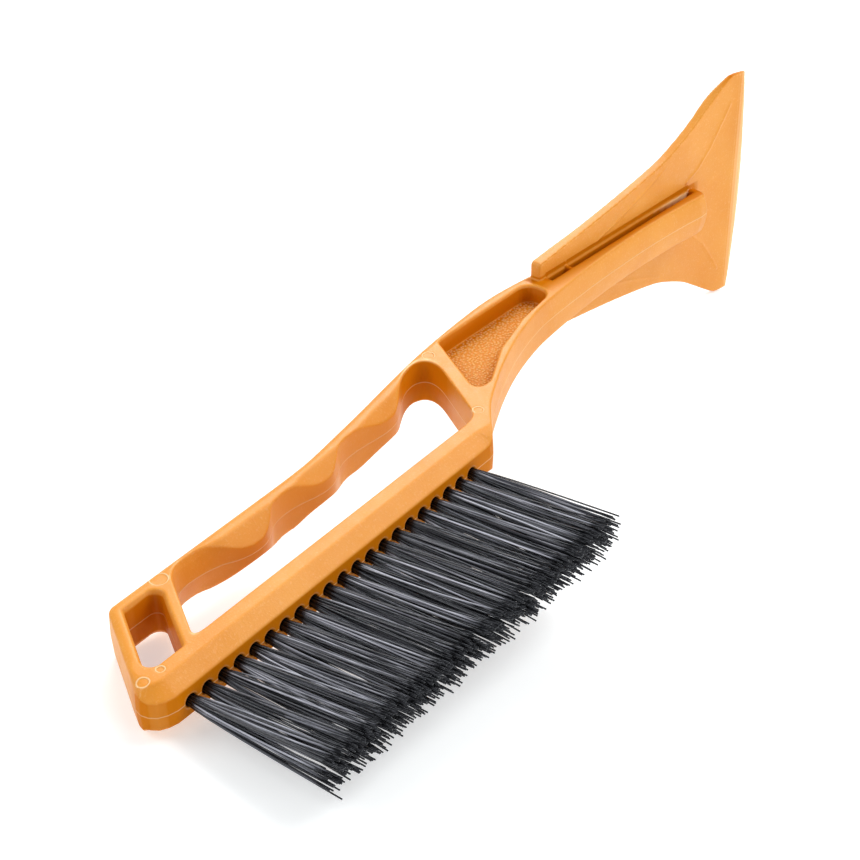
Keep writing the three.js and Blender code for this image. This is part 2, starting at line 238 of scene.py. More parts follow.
def orange_plastic():
    """Moulded polypropylene: slow flow marks, a fine spark-eroded grain, the parting line and pin
    rings with painted highlight, the pebbled pocket floors with painted highlight on the pebbles
    and painted shade between them, pale worn edges with painted edge highlight, and painted shade
    in inside corners and holes."""
    nodes = Nodes("orange_polypropylene")
    where = tool_coordinates(nodes)
    axes = nodes.add("SeparateXYZ", {"Vector": where})
    edge_wear_and_highlight = attribute(nodes, "wear_and_edge_highlight")
    painted_shade_share = attribute(nodes, "painted_shade")
    floors = attribute(nodes, "pocket_floor")
    seam = parting_line(nodes, axes)
    rings = pin_rings(nodes, axes)
    pebble = pebbles(nodes, where, floors)

    flow = nodes.add("TexNoise", {"Vector": where}, Scale=38.0, Detail=3.0, Roughness=0.55)
    flowed = nodes.ramp(flow.outputs["Fac"], [(0.3, ORANGE_DEEP), (0.7, ORANGE_PALE)])
    # Gaps between the pocket pebbles, which get painted shade.
    gaps = nodes.add("Math", {0: floors, 1: pebble}, operation="SUBTRACT").outputs["Value"]
    # Painted shade: darker orange in hollows and holes, and between the pocket pebbles.
    shaded = painted(nodes, flowed, ORANGE_SHADE, total(nodes, [(painted_shade_share, 0.95), (gaps, 0.6)]))
    grain = nodes.add("TexNoise", {"Vector": where}, Scale=1300.0, Detail=3.0, Roughness=0.7)
    specks = nodes.add("MapRange", {"Value": grain.outputs["Fac"]}, From_Min=0.54, From_Max=0.80)
    bare = nodes.add("MapRange", {"Value": painted_shade_share}, From_Max=0.4, To_Min=1.0, To_Max=0.0)
    specks = times(nodes, specks.outputs["Result"], bare.outputs["Result"])
    # Pale grain specks and edge wear, with painted highlight on worn edges, the parting line, the
    # pin rings and the pebble tops.
    specks_and_highlight = total(nodes, [(specks, 0.26), (seam, 0.42), (pebble, 0.40), (rings, 0.8), (edge_wear_and_highlight, 0.9)])
    nodes.link(painted(nodes, shaded, ORANGE_SPECKS_AND_HIGHLIGHT, specks_and_highlight), "Base Color")

    scuffs = nodes.add("TexNoise", {"Vector": where}, Scale=260.0, Detail=4.0, Roughness=0.6)
    nodes.link(nodes.ramp(scuffs.outputs["Fac"], [(0.25, grey(0.33)), (0.8, grey(0.48))]),
               "Roughness")
    dull = total(nodes, [(painted_shade_share, 1.0), (floors, 0.9)])
    sheen = nodes.add("MapRange", {"Value": dull}, To_Min=0.33, To_Max=0.04)
    nodes.link(sheen.outputs["Result"], "Specular IOR Level")

    waves = nodes.add("TexNoise", {"Vector": where}, Scale=90.0, Detail=1.0)
    wavy = nodes.add("Bump", {"Height": waves.outputs["Fac"]}, Strength=0.2, Distance=WAVE_DEPTH)
    grained = nodes.add("Bump", {"Height": grain.outputs["Fac"], "Normal": wavy.outputs["Normal"]},
                        Strength=0.6, Distance=GRAIN_DEPTH)
    raised = total(nodes, [(pebble, 1.0), (seam, 0.5), (rings, 0.6)])
    relief = nodes.add("Bump", {"Height": raised, "Normal": grained.outputs["Normal"]},
                       Strength=1.0, Distance=RELIEF_DEPTH)
    nodes.link(relief.outputs["Normal"], "Normal")
    nodes.uniform(IOR=1.45, Subsurface_Weight=0.1, Subsurface_Radius=(1.0, 0.35, 0.1),
                  Subsurface_Scale=0.001)
    return nodes.material


def black_filament():
    """Drawn polypropylene monofilament: black, with a painted grey-blue highlight streak on some
    lengths.
    """
    nodes = Nodes("black_filament")
    where = tool_coordinates(nodes)
    along = nodes.add("Mapping", {"Vector": where}, Scale=(1.0, 0.08, 1.0))
    streak_break = nodes.add("TexNoise", {"Vector": along.outputs["Vector"]}, Scale=900.0, Detail=1.0)
    streak_break = nodes.add("MapRange", {"Value": streak_break.outputs["Fac"]}, From_Min=0.3, From_Max=0.7,
                      To_Min=-0.08, To_Max=0.08)
    highlight_share = nodes.add("Math", {0: attribute(nodes, "filament_highlight"), 1: streak_break.outputs["Result"]},
                     operation="ADD").outputs["Value"]
    # Painted highlight: black filament, running to grey-blue painted highlight for high shares.
    colour = nodes.ramp(highlight_share, [(0.45, (0.003, 0.003, 0.004)), (0.64, (0.034, 0.035, 0.042)),
                               (0.80, (0.22, 0.225, 0.26)), (1.0, (0.52, 0.53, 0.60))])
    nodes.link(colour, "Base Color")
    nodes.link(nodes.ramp(highlight_share, [(0.3, grey(0.24)), (0.9, grey(0.4))]), "Roughness")
    nodes.uniform(IOR=1.5, Specular_IOR_Level=0.5, Specular_Tint=(0.86, 0.90, 1.0, 1.0))
    return nodes.material


def staple_wire():
    """Drawn steel wire."""
    nodes = Nodes("staple_wire")
    where = nodes.add("TexCoord").outputs["Object"]
    drawn = nodes.add("TexNoise", {"Vector": where}, Scale=2500.0, Detail=2.0)
    rough = nodes.ramp(drawn.outputs["Fac"], [(0.3, grey(0.25)), (0.7, grey(0.5))])
    nodes.link(rough, "Roughness")
    tint = nodes.ramp(drawn.outputs["Fac"], [(0.2, grey(0.42)), (0.8, grey(0.6))])
    nodes.link(tint, "Base Color")
    nodes.uniform(Metallic=1.0)
    return nodes.material


# ---- bristles --------------------------------------------------------------------------
FILAMENTS = 48                 # straight lengths standing out of one hole
FILAMENT_RADIUS = 0.25
FILAMENT_SIDES = 6
FILAMENT_LENGTH = 48.0
LENGTH_SPREAD = 1.3            # tips are worn and cut unevenly
# Stations along a filament from its root, and how much painted highlight it may carry at each and
# at the tip: little at the root, where painted shade falls from the body, and less at the tip.
STATIONS = (-4.0, 0.6, 3.0, 7.0, 13.0, 21.0, 29.0, 37.0, 43.0)
HIGHLIGHT_ALONG = (0.1, 0.3, 0.85, 1.0, 1.0, 1.0, 1.0, 1.0, 0.8, 0.3)
SEED = 7
GOLDEN_ANGLE = 2.39996         # spreads the filaments evenly over the hole
TURN_JITTER = 0.5
HOLE_CLEARANCE = 0.35          # from the hole's wall to a filament's centreline
FLARE = 0.75                   # how much wider the tuft gets as soon as it leaves the hole
FLARE_REACH = 5.0
SAG = 0.004                    # every filament droops a little towards the floor
LEAN_POWER = 1.12              # filaments lean out a little faster towards their tips
# x and z: how far tips lean at the hand end and at the blade end, how far a tuft opens, how
# far single filaments stray from that, and how much they bow.
NEAR_LEAN = (2.2, 1.4)
FAR_LEAN = (3.4, -2.6)
OPENING = (1.9, 5.0)
SCATTER = (0.5, 0.6)
LOOSE_SCATTER = (1.3, 1.8)
LOOSE_SHARE = 0.04
BOW = (0.3, 0.35)
# The few lengths that stand out on their own: (tuft, filament) and their extra lean.
STRAYS = {(0, 45): (0.5, -3.4), (0, 46): (2.6, -3.0), (1, 44): (1.8, -2.6), (20, 45): (0.4, -3.0)}


def tuft_filaments(index, rng):
    """Centrelines of one tuft, as an array of filaments x stations x 3."""
    centre = index * TUFT_PITCH
    along_row = index / (TUFT_COUNT - 1)
    lean = (1 - along_row) * np.array(NEAR_LEAN) + along_row * np.array(FAR_LEAN)
    lines = []
    for k in range(FILAMENTS):
        turn = GOLDEN_ANGLE * k + rng.uniform(0, TURN_JITTER)
        out = math.sqrt((k + 0.5) / FILAMENTS)
        way = out * np.array([math.cos(turn), math.sin(turn)])
        foot = (TUFT_HOLE_RADIUS - HOLE_CLEARANCE) * way
        lean_here = OPENING * way + rng.normal(0, SCATTER) + lean
        length = FILAMENT_LENGTH - abs(rng.normal(0, LENGTH_SPREAD))
        if rng.random() < LOOSE_SHARE:
            lean_here += rng.normal(0, LOOSE_SCATTER)
        lean_here += STRAYS.get((index, k), (0, 0))
        bow = rng.normal(0, BOW)
        lines.append([filament_point(centre, foot, lean_here, bow, along, length)
                      for along in (*STATIONS, length)])
    return np.array(lines)


def filament_point(centre, foot, lean, bow, along, length):
    """One point of a filament's centreline, at this length from the brush face."""
    share = max(along, 0.0) / length
    spread = share ** LEAN_POWER
    flare = FLARE * (1 - math.exp(-max(along, 0.0) / FLARE_REACH))
    curve = math.sin(math.pi * share)
    x = centre + foot[0] * (1 + flare) + lean[0] * spread + bow[0] * curve
    z = foot[1] + lean[1] * spread + bow[1] * curve - SAG * along * share
    return (x, -along, z)


def tubes(lines, radius, sides):
    """Points and faces of closed tubes, one along each line."""
    count, stations, _ = lines.shape
    turns = 2 * math.pi * np.arange(sides) / sides
    ring = np.stack([np.cos(turns), np.zeros(sides), np.sin(turns)], 1) * radius
    points = (lines[:, :, None, :] + ring[None, None]).reshape(-1, 3)
    faces = []
    for f in range(count):
        start = f * stations * sides
        for s in range(stations - 1):
            low = start + s * sides
            for i in range(sides):
                j = (i + 1) % sides
                faces.append((low + i, low + j, low + sides + j, low + sides + i))
        faces.append(tuple(start + i for i in reversed(range(sides))))
        end = start + (stations - 1) * sides
        faces.append(tuple(end + i for i in range(sides)))
    return points, faces


def bristles(material):
    """One piece for each tuft, in place of the CAD's solid tuft."""
    rng = np.random.default_rng(SEED)
    for index in range(TUFT_COUNT):
        node = "tuft_%02d" % (index + 1)
        points, faces = tubes(tuft_filaments(index, rng), FILAMENT_RADIUS, FILAMENT_SIDES)
        name = "filaments_%02d" % (index + 1)
        mesh = bpy.data.meshes.new(name)
        mesh.from_pydata(tool_to_row(points).tolist(), [], faces)
        mesh.polygons.foreach_set("use_smooth", [True] * len(mesh.polygons))
        # Painted highlight: a random share for each filament, scaled along its length.
        highlight_shares = rng.uniform(0, 1, FILAMENTS)[:, None] * np.array(HIGHLIGHT_ALONG)
        store(mesh, "filament_highlight", np.repeat(highlight_shares.ravel(), FILAMENT_SIDES))
        piece = new_piece(name, mesh, material)
        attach(piece, "root")
        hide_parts(node)


# ---- the moulding, as a distance field in the tool's frame -------------------------------
# Negative inside the plastic.  Smooth unions and cuts give every edge its moulded rounding.
# The tool's two faces mirror each other, so most shapes use the level: the distance from the
# parting plane.
STEP = 0.36                    # spacing of the lattice the surface is read from
LATTICE_LOW = (-13.0, -1.2, -46.8)
LATTICE_HIGH = (330.6, 49.8, 46.8)
FAR_AWAY = 30.0                # the field's value where nothing is drawn
SIDE_DRAFT = 0.35              # how far every side wall leans in from the parting line
EDGE_SOFTNESS = 0.7
NEAR_CORNER_SOFTNESS = 2.4     # more rounding at the hand end
BRUSH_CHAMFER_RUN = 5.2
BRUSH_CHAMFER_DROP = 3.25
RAIL_CHAMFER_RUN = 1.7
RAIL_CHAMFER_DROP = 0.75
BRUSH_RAIL = 9.0
GUSSET_LEAN = 1.1
GUSSET_END = 304.0             # nothing but the blade lies beyond this X
BLADE_BAND = (25.0, 47.0)      # the blade lies between these values of Y
WEB_HALF = 1.6                 # half the thin web between the upper and lower pockets
TUFT_HOLE_DEPTH = 6.6
MARK_DEPTH = 0.25              # of an ejector pin's mark, and the width of its edge


def smooth_max(a, b, reach):
    """The larger of two fields, blended where they differ by less than reach."""
    return np.maximum(a, b) + np.maximum(reach - np.abs(a - b), 0) ** 2 / (4 * reach)


def smooth_min(a, b, reach):
    """The smaller of two fields, blended the same way."""
    return -smooth_max(-a, -b, reach)


def rise(x, start, end):
    """0 up to start and 1 from end on, with an S-shaped step between; start may be larger."""
    t = np.clip((x - start) / (end - start), 0, 1)
    return t * t * (3 - 2 * t)


def polygon_distance(corners, u, v):
    """Signed distance to a closed outline, negative inside."""
    nearest = np.full(np.broadcast(u, v).shape, 1e9)
    inside = np.zeros(nearest.shape, bool)
    for (ax, ay), (bx, by) in zip(corners, corners[1:] + corners[:1]):
        dx, dy = bx - ax, by - ay
        t = np.clip(((u - ax) * dx + (v - ay) * dy) / (dx * dx + dy * dy + 1e-12), 0, 1)
        nearest = np.minimum(nearest, (u - ax - t * dx) ** 2 + (v - ay - t * dy) ** 2)
        crosses = (ay > v) != (by > v)
        slope = dx / (dy if abs(dy) > 1e-12 else 1e-12)
        inside ^= crosses & (u < slope * (v - ay) + ax)
    return np.where(inside, -1, 1) * np.sqrt(nearest)


def rounded_polygon(corners, steps=6):
    """Corners (x, y, radius) joined by straight lines and arcs."""
    points = []
    for i, (x, y, radius) in enumerate(corners):
        corner = np.array([x, y])
        ways = []
        for other in (corners[i - 1], corners[(i + 1) % len(corners)]):
            way = np.array(other[:2]) - corner
            ways.append(way / np.linalg.norm(way))
        if radius <= 0:
            points.append((x, y))
            continue
        half = math.acos(np.clip(ways[0] @ ways[1], -1, 1)) / 2
        middle = ways[0] + ways[1]
        centre = corner + middle / np.linalg.norm(middle) * radius / math.sin(half)
        start, end = (corner + w * radius / math.tan(half) - centre for w in ways)
        angle = math.atan2(start[1], start[0])
        sweep = (math.atan2(end[1], end[0]) - angle + math.pi) % (2 * math.pi) - math.pi
        for s in range(steps + 1):
            turn = angle + sweep * s / steps
            points.append((centre[0] + radius * math.cos(turn),
                           centre[1] + radius * math.sin(turn)))
    return points


def smooth_line(controls, steps):
    """Catmull-Rom curve through the control points."""
    p = np.array([controls[0], *controls, controls[-1]], float)
    line = []
    for s in range(steps + 1):
        at = min(s / steps * (len(controls) - 1), len(controls) - 1 - 1e-9)
        i, t = int(at), at - int(at)
        a, b, c, d = p[i:i + 4]
        line.append(tuple(0.5 * (2 * b + (c - a) * t + (2 * a - 5 * b + 4 * c - d) * t * t
                                 + (3 * b - a - 3 * c + d) * t ** 3)))
    return line


def handle_outline():
    """The handle frame, the neck and the gusset, seen from above."""
    brush_corner = [(-11.1, 8.9), (-11.75, 6.6), (-11.3, 4.4), (-9.9, 2.3), (-7.6, 0.9),
                    (-4.8, 0.1), (0, 0), (124, 0), (129.4, 0), (131.8, 0.6), (133.6, 1.9),
                    (135.4, 3.3)]
    neck = smooth_line([
        (138, 5.4), (145.8, 11.0), (156, 16.1), (166.7, 20.8), (179.5, 25.3), (192.4, 28.4),
        (204, 30.0), (222, 30.5), (240, 30.4), (264, 29.4), (284, 27.4), (296, 25.6)], 44)
    gusset_end = [(300.0, 25.6), (301.6, 28.2), (302.2, 34.4), (270, 37.4)]
    rail = smooth_line([
        (72, 36.4), (87, 36.8), (101, 38.5), (118, 40.9), (137, 43.9), (156, 46.4),
        (179, 48.0), (195, 48.1), (209, 46.5), (222, 44.2), (240, 40.4)], 32)
    # Only the rounded corner is kept: the other two are there to give it its directions.
    hand_end = rounded_polygon([(-11.1, 8.9, 0), (60, 36.4, 0), (6.3, 36.4, 4.4)])[2:]
    return brush_corner + neck + gusset_end + rail[::-1] + hand_end


PLATE_FRONT = (220.7, 39.2)     # x and y of one place on the blade's front face
PLATE_LEAN = 0.072


def plate_front(x):
    """Y of the blade's front face, which leans back a little along the tool."""
    place_x, place_y = PLATE_FRONT
    return place_y - PLATE_LEAN * (x - place_x)


def ejector_marks(x, y, z):
    """Shallow round witness marks of the ejector pins, on the upper face only."""
    sunk = 0
    for px, py, radius in EJECTOR_PINS:
        away = np.hypot(x - px, y - py)
        sunk = sunk + MARK_DEPTH * rise(away, radius + MARK_DEPTH, radius - MARK_DEPTH)
    return sunk * (z > 0)


def chamfer(outline, level, run, drop):
    """Cut along the top edge of a wall; a smaller drop moves it off the edge."""
    slope = np.max(drop) / run
    return (level - HALF_THICKNESS + drop + outline * slope) / math.hypot(1, slope)


def slab(x, y, z):
    """The handle frame, the neck and the gusset, before anything is cut from them."""
    outline = polygon_distance(handle_outline(), x, y)
    level = np.abs(z)
    share = level / HALF_THICKNESS
    gusset_front = rise(x, 196, 246) * rise(y, 36.5, 33.5)
    wall = outline + SIDE_DRAFT * share + GUSSET_LEAN * gusset_front * share ** 2
    softness = EDGE_SOFTNESS + NEAR_CORNER_SOFTNESS * rise(x, 4, -6) * rise(y, 16, 8)
    shape = smooth_max(wall, level - HALF_THICKNESS + ejector_marks(x, y, z), softness)
    brush_side = rise(y, 10.0, 4.6) * rise(x, 137.5, 128)
    shape = smooth_max(shape, chamfer(outline, level, BRUSH_CHAMFER_RUN,
                                      BRUSH_CHAMFER_DROP * brush_side), 0.35)
    rail_side = rise(y - 0.1 * x, 12, 18)
    return smooth_max(shape, chamfer(outline + 0.3, level, RAIL_CHAMFER_RUN,
                                     RAIL_CHAMFER_DROP * rail_side), 0.3)


def ridge_distance(x, z, line):
    """Distance from the points to an open line drawn on the blade."""
    nearest = 1e9
    for (ax, az), (bx, bz) in zip(line, line[1:]):
        dx, dz = bx - ax, bz - az
        t = np.clip(((x - ax) * dx + (z - az) * dz) / (dx * dx + dz * dz), 0, 1)
        nearest = np.minimum(nearest, (x - ax - t * dx) ** 2 + (z - az - t * dz) ** 2)
    return np.sqrt(nearest)


BLADE_HALF_WIDTH = 45.45
BLADE_EDGE = 328.8
BLADE_BOW = 2.2                # how far the scraping edge curves back at its corners
PLATE_ROOT = 212.5
PLATE_THICKNESS = 3.3
ROOT_SWELL = 0.6               # how much thicker the plate is at its root
FRONT_CURL = 0.0036            # how fast its front curves forward near the scraping edge
BEVEL = (312.0, 35.6, 0.363)   # x, y and slope of the ground back of the scraping edge
# Raised lines on each half of the blade: height, half width, and course in x and z.
RIDGES = ((0.34, 0.55, [(297, 11), (304, 14), (310.5, 20), (314, 25), (318, 31), (320, 34.5)]),
          (0.2, 0.5, [(243, 9.6), (255, 12.6), (268, 16.6), (283, 22.2)]))


def plate(x, y, z):
    """The fan-shaped blade, thinning to the scraping edge."""
    wing = smooth_line([(226, 15.8), (240, 17.6), (260, 20.6), (280, 24.4), (290, 27.8),
                        (300, 32.4), (307, 36.8), (314, 41.5), (318.5, 44.4)], 26)
    side = np.abs(z)
    half = [(PLATE_ROOT, 13.2), (213.4, 14.1), *wing, (320.2, BLADE_HALF_WIDTH - 0.2),
            (322, BLADE_HALF_WIDTH), (BLADE_EDGE + 5, BLADE_HALF_WIDTH - 0.2)]
    outline = polygon_distance(half + [(BLADE_EDGE + 5, -5), (PLATE_ROOT, -5)], x, side)
    edge = x - (BLADE_EDGE - BLADE_BOW * (z / BLADE_HALF_WIDTH) ** 2)
    front = plate_front(x) - FRONT_CURL * np.maximum(x - 300, 0) ** 2
    for height, half_width, line in RIDGES:
        front = front - height * np.exp(-(ridge_distance(x, side, line) / half_width) ** 2)
    back = plate_front(x) + PLATE_THICKNESS + ROOT_SWELL * rise(x, 240, PLATE_ROOT)
    bevel_x, bevel_y, bevel_slope = BEVEL
    back = smooth_min(back, bevel_y - bevel_slope * (x - bevel_x), 1.0)
    shape = smooth_max(front - y, y - back, 0.5)
    shape = smooth_max(shape, outline, 0.45)
    return smooth_max(shape, edge, 0.5)


HANGING_HOLE = [(-6.3, 9.6, 3.2), (8.4, 9.6, 1.2), (23.0, 32.7, 3.2), (8.3, 32.7, 1.0)]
HOLE_INSET = 0.8               # from this outline, at the parting plane
HOLE_DRAFT = 0.2
HOLE_RIM = 0.6


def hanging_hole(x, y, z):
    """The slanted hole at the hand end, narrowest at the parting plane."""
    level = np.abs(z)
    inset = (HOLE_INSET - HOLE_DRAFT * np.minimum(level / 6.7, 1)
             - HOLE_RIM * np.clip((level - 6.5) / 1.2, 0, 1))
    return polygon_distance(rounded_polygon(HANGING_HOLE), x, y) + inset


def through(places, x):
    """Smooth curve through (x, value) places, by cubic steps between them."""
    at = np.array([p[0] for p in places], float)
    value = np.array([p[1] for p in places], float)
    slope = np.gradient(value, at)
    i = np.clip(np.searchsorted(at, x) - 1, 0, len(at) - 2)
    gap = at[i + 1] - at[i]
    t = np.clip((x - at[i]) / gap, 0, 1)
    return ((2 * t ** 3 - 3 * t ** 2 + 1) * value[i] + (t ** 3 - 2 * t ** 2 + t) * gap * slope[i]
            + (3 * t ** 2 - 2 * t ** 3) * value[i + 1] + (t ** 3 - t ** 2) * gap * slope[i + 1])


# Inner wall of the outer rail at the parting line: valleys for the fingers, bumps between.
FINGER_WALL = [(16, 33.2), (30, 32.9), (38, 32.5), (44, 31.1), (50, 28.2), (55, 27.2),
               (59.5, 27.6), (63, 29.1), (66, 30.9), (70, 31.9), (74, 32.0), (79, 31.3),
               (84, 30.1), (88.5, 29.6), (92.5, 30.3), (96, 32.0), (99, 33.7), (103, 34.8),
               (108, 35.0), (113, 34.6), (118, 34.0), (123.5, 33.9), (127.5, 34.7),
               (131, 36.4), (135, 39.0), (140, 41.7), (146, 43.7), (156, 45.0)]
# Its rim, almost straight: each bump slopes up to it in a flat facet.
FINGER_RIM = [(16, 33.0), (42, 32.9), (46, 32.2), (52, 32.0), (60, 31.9), (66, 31.6),
              (72, 31.4), (77, 32.2), (82, 33.2), (88, 33.6), (94, 33.8), (99, 34.0),
              (104, 34.5), (108, 34.9), (113, 35.8), (118, 36.8), (124, 37.6), (130, 38.4),
              (136, 40.0), (143, 42.0), (150, 43.4), (156, 44.4)]
FACET_SLOPE = 1.05
NEAR_END = (11.4, 0.65)        # x at the brush rail, and lean, of the hand opening's end walls
FAR_END = (135.2, 0.607)
UPPER_CORNER_REACH = 5.0       # rounding of its corners next to the finger bumps
FAR_CORNER_REACH = 13.0
FIRST_SCOOP = 1.6              # the first bump is scooped out at its rims


def end_wall(x, y, place, lean):
    """Distance past a straight wall that leans across the hand opening."""
    return ((x - place) - lean * (y - BRUSH_RAIL)) / math.hypot(1, lean)


def hand_opening(x, y, z):
    """The opening for the hand, with finger bumps on the outer rail."""
    level = np.abs(z)
    near = end_wall(x, y, *NEAR_END)
    far = end_wall(x, y, *FAR_END)
    rail = BRUSH_RAIL - y
    sides = smooth_max(smooth_max(-near, rail, 3.2), smooth_max(far, rail, 5.0), 4.0)
    corner_reach = (UPPER_CORNER_REACH
                    + (FAR_CORNER_REACH - UPPER_CORNER_REACH) * rise(x, 80, 130))
    first_scoop = FIRST_SCOOP * rise(x, 47, 37) * level / HALF_THICKNESS
    scallops = y - through(FINGER_WALL, x) - first_scoop
    rim = through(FINGER_RIM, x)
    facet = (HALF_THICKNESS - FACET_SLOPE * (rim - y) - level) / math.hypot(1, FACET_SLOPE)
    wall = smooth_min(scallops, smooth_max(y - rim, facet, 0.3), 0.15)
    draft = SIDE_DRAFT * (1 - level / HALF_THICKNESS)
    return smooth_max(sides, wall, corner_reach) + draft


RECESS_DRAFT = 0.45            # how far a recess narrows over the depth
RECESS_DEPTH = 6.0
RIM_ROUNDING = 0.35            # and how far it opens over the last part up to its rim
RIM_DEPTH = 0.7


def recess(outline, floor_level, x, y, z):
    """A pocket sunk in both faces, down to a floor this far from the parting plane."""
    level = np.abs(z)
    inset = RECESS_DRAFT * np.clip((HALF_THICKNESS - level) / RECESS_DEPTH, 0, 1)
    rim = RIM_ROUNDING * np.clip((level - HALF_THICKNESS + RIM_DEPTH) / RIM_DEPTH, 0, 1)
    return smooth_max(polygon_distance(outline, x, y) + inset - rim, floor_level - level, 0.6)


NECK_POCKET = [(147.0, 18.2, 2.6), (154.5, 18.2, 3.0), (171, 26.2, 14), (190, 31.1, 20),
               (208.8, 33.0, 4.4), (209.4, 43.0, 4.6), (196, 43.6, 20), (162.6, 45.0, 2.4)]
SLOTS = ((216, 225.7), (227.3, 298))    # from and to along the gusset, a rib between


def slot_outline(from_x, to_x):
    """One slot of the gusset, up to the blade's front face."""

    def front(x):
        return 37.1 - 0.0633 * (x - 216) - 0.9 * float(rise(x, 222, 300))

    return [(from_x, front(from_x)), (to_x, front(to_x)), (to_x, plate_front(to_x) - 0.3),
            (from_x, plate_front(from_x) - 0.3)]


def tuft_holes(x, y, z):
    """Drilled holes in the brush face."""
    nearest = TUFT_PITCH * np.clip(np.round(x / TUFT_PITCH), 0, TUFT_COUNT - 1)
    return smooth_max(np.hypot(x - nearest, z) - TUFT_HOLE_RADIUS, y - TUFT_HOLE_DEPTH, 0.5)


def moulding_field():
    """The whole field on its lattice, with the lattice's first corner."""
    first = np.array(LATTICE_LOW)
    count = np.ceil((np.array(LATTICE_HIGH) - first) / STEP).astype(int) + 1
    x, y, z = (first[i] + STEP * np.arange(count[i]) for i in range(3))
    x, y, z = x[:, None, None], y[None, :, None], z[None, None, :]
    field = np.full(count, FAR_AWAY, np.float32)

    handle = np.abs(z[0, 0]) < HALF_THICKNESS + 1.5
    part = slice(int(handle.argmax()), int(len(handle) - handle[::-1].argmax()))
    long = slice(0, int(np.searchsorted(x[:, 0, 0], GUSSET_END)))
    xs, zs = x[long], z[:, :, part]
    shape = slab(xs, y, zs)
    shape = smooth_max(shape, -hanging_hole(xs, y, zs), 0.5)
    shape = smooth_max(shape, -hand_opening(xs, y, zs), 0.5)
    field[long, :, part] = shape

    wing = slice(int(np.searchsorted(x[:, 0, 0], PLATE_ROOT - 3)), int(count[0]))
    high = slice(*(int(np.searchsorted(y[0, :, 0], edge)) for edge in BLADE_BAND))
    blade = plate(x[wing], y[:, high], z)
    field[wing, high] = smooth_min(field[wing, high], blade, 0.6)

    recesses = [rounded_polygon(NECK_POCKET, 4), *(slot_outline(*slot) for slot in SLOTS)]
    cuts = [recess(outline, WEB_HALF, xs, y, zs) for outline in recesses]
    for cut in (*cuts, tuft_holes(xs, y, zs)):
        field[long, :, part] = smooth_max(field[long, :, part], -cut, 0.45)
    return field, first


def surface_net(field, first):
    """Points and quads of the field's zero surface: one point for each cell it crosses."""
    inside = field < 0
    below = [slice(None, -1), slice(1, None)]
    mixed = np.zeros([n - 1 for n in field.shape], np.uint8)
    for corner in np.ndindex(2, 2, 2):
        mixed += inside[tuple(below[c] for c in corner)]
    mixed = (mixed > 0) & (mixed < 8)
    cells = np.argwhere(mixed)
    number = np.full(mixed.shape, -1, np.int32)
    number[mixed] = np.arange(len(cells))
    sums = np.zeros((len(cells), 3))
    hits = np.zeros(len(cells))
    for axis in range(3):
        way = np.eye(3, dtype=int)[axis]
        for corner in np.ndindex(2, 2, 2):
            if corner[axis]:
                continue
            start = cells + corner
            a, b = field[tuple(start.T)], field[tuple((start + way).T)]
            cross = (a < 0) != (b < 0)
            share = np.where(cross, a / np.where(cross, a - b, 1), 0)
            sums += cross[:, None] * (np.array(corner) + share[:, None] * way)
            hits += cross
    points = first + (cells + sums / hits[:, None]) * STEP
    quads = []
    for axis in range(3):
        ends = [slice(None)] * 3
        ends[axis] = slice(None, -1)
        low = inside[tuple(ends)]
        ends[axis] = slice(1, None)
        change = np.argwhere(low != inside[tuple(ends)])
        u, v = np.eye(3, dtype=int)[(axis + 1) % 3], np.eye(3, dtype=int)[(axis + 2) % 3]
        around = [number[tuple((change - s).T)] for s in (u + v, v, 0 * u, u)]
        quad = np.stack(around, 1)
        flip = ~low[tuple(change.T)]
        quad[flip] = quad[flip][:, ::-1]
        quads.append(quad)
    return points, np.concatenate(quads)


def read_field(field, first, points):
    """The field at any points, between its lattice values."""
    at = np.clip((points - first) / STEP, 0, np.array(field.shape) - 1.001)
    cell = at.astype(int)
    share = at - cell
    value = 0
    for corner in np.ndindex(2, 2, 2):
        weight = np.prod(np.where(corner, share, 1 - share), axis=1)
        value = value + weight * field[tuple((cell + corner).T)]
    return value


WEAR_DEPTH = 0.6               # how deep under the surface a thin edge is felt
# Strength of the pale worn edges, which also serve as painted edge highlight.
WORN_GAIN = 4.0
WORN_CUT = 0.35
# Reaches and strength of the painted shade in hollows.
SHELTER_REACHES = (1.5, 3.0, 6.0, 10.0, 16.0)
SHELTER_GAIN = 3.2
SHELTER_CUT = 0.12
SLACK = 0.08                   # nearness that doesn't count as shelter


def wear_highlight_and_shade(field, first, points):
    """How worn each point is (outside edges, also given painted highlight) and how much painted
    shade it gets (inside corners, holes).
    """
    slope = [read_field(field, first, points + way) - read_field(field, first, points - way)
             for way in 0.5 * np.eye(3)]
    normal = np.stack(slope, 1)
    steepness = np.linalg.norm(normal, axis=1) + 1e-9
    normal /= steepness[:, None]
    under = read_field(field, first, points - WEAR_DEPTH * normal) / steepness
    edge_wear_and_highlight = 1 + under / WEAR_DEPTH
    painted_shade = np.zeros(len(points))
    for reach in SHELTER_REACHES:
        open_to = read_field(field, first, points + reach * normal)
        painted_shade += np.clip((reach - open_to) / reach - SLACK, 0, 1) / len(SHELTER_REACHES)
    return (np.clip(edge_wear_and_highlight * WORN_GAIN - WORN_CUT, 0, 1),
            np.clip(painted_shade * SHELTER_GAIN - SHELTER_CUT, 0, 1))


